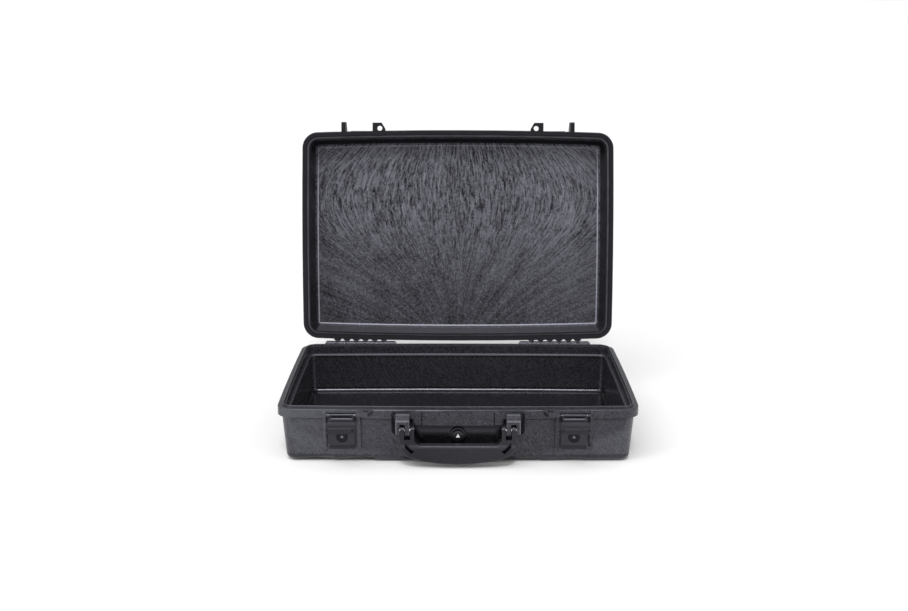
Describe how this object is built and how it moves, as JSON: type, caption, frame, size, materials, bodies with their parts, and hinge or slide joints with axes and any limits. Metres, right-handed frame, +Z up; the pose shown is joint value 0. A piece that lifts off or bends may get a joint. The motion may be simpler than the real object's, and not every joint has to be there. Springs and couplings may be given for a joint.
{
  "type": "hard equipment case",
  "caption": "Shallow moulded equipment case with an open hinged lid, key-locking draw latches, a folding carry handle and a pressure purge valve.",
  "frame": {"origin": "centre of the base's underside, on the surface that the case stands on", "axes": "+X along the case to the viewer's right, +Y from the handle side to the hinge side, +Z up"},
  "size_m": [0.5024, 0.4629, 0.4287],
  "materials": {
    "moulded": "satin moulded, faint flow marks",
    "lid_moulded": "satin moulded, radial flow marks on the inner panel",
    "handle_moulded": "smooth satin",
    "latch_moulded": "semi-gloss",
    "seal": "soft matt",
    "steel": "plain ground pin",
    "lock_metal": "dark plated die casting",
    "valve_moulded": "smooth semi-gloss",
    "membrane": "thin white membrane",
    "mark": "plain white inlay"
  },
  "bodies": {
    "base": {"base_shell": "moulded", "purge_valve_body": "valve_moulded", "purge_valve_oring": "seal", "purge_valve_nut": "valve_moulded", "vent_membrane": "membrane", "hinge_pin_left": "steel", "handle_pin_left": "steel", "latch_pivot_pin_left": "steel", "hinge_pin_right": "steel", "handle_pin_right": "steel", "latch_pivot_pin_right": "steel"},
    "lid": {"lid_shell": "lid_moulded", "lid_gasket": "seal"},
    "carry_handle": {"handle": "handle_moulded"},
    "purge": {"purge_knob": "valve_moulded", "purge_mark": "mark"},
    "lever_left": {"latch_lever_left": "latch_moulded", "claw_pin_left": "steel", "lock_housing_left": "lock_metal"},
    "claw_left": {"latch_claw_left": "latch_moulded"},
    "lock_left": {"lock_cylinder_left": "lock_metal", "lock_cam_left": "lock_metal", "cam_screw_left": "lock_metal"},
    "lever_right": {"latch_lever_right": "latch_moulded", "claw_pin_right": "steel", "lock_housing_right": "lock_metal"},
    "claw_right": {"latch_claw_right": "latch_moulded"},
    "lock_right": {"lock_cylinder_right": "lock_metal", "lock_cam_right": "lock_metal", "cam_screw_right": "lock_metal"}
  },
  "joints": [
    {"name": "lid_hinge", "type": "hinge", "parent": "base", "child": "lid", "pos_m": [0, 0.1746, 0.0777], "axis": [-1, 0, 0], "range_deg": [-100, 0]},
    {"name": "handle_fold", "type": "hinge", "parent": "base", "child": "carry_handle", "pos_m": [0, -0.178, 0.0535], "axis": [-1, 0, 0], "range_deg": [0, 100]},
    {"name": "purge_turn", "type": "hinge", "parent": "base", "child": "purge", "pos_m": [0, -0.1545, 0.039], "axis": [0, -1, 0], "range_deg": [0, 180]},
    {"name": "lever_lift_left", "type": "hinge", "parent": "base", "child": "lever_left", "pos_m": [-0.159, -0.1662, 0.071], "axis": [-1, 0, 0], "range_deg": [0, 80]},
    {"name": "claw_swing_left", "type": "hinge", "parent": "lever_left", "child": "claw_left", "pos_m": [-0.159, -0.1674, 0.0654], "axis": [1, 0, 0], "range_deg": [-110, 0]},
    {"name": "key_turn_left", "type": "hinge", "parent": "lever_left", "child": "lock_left", "pos_m": [-0.159, -0.1637, 0.039], "axis": [0, -1, 0], "range_deg": [0, 90]},
    {"name": "lever_lift_right", "type": "hinge", "parent": "base", "child": "lever_right", "pos_m": [0.159, -0.1662, 0.071], "axis": [-1, 0, 0], "range_deg": [0, 80]},
    {"name": "claw_swing_right", "type": "hinge", "parent": "lever_right", "child": "claw_right", "pos_m": [0.159, -0.1674, 0.0654], "axis": [1, 0, 0], "range_deg": [-110, 0]},
    {"name": "key_turn_right", "type": "hinge", "parent": "lever_right", "child": "lock_right", "pos_m": [0.159, -0.1637, 0.039], "axis": [0, -1, 0], "range_deg": [0, 90]}
  ]
}
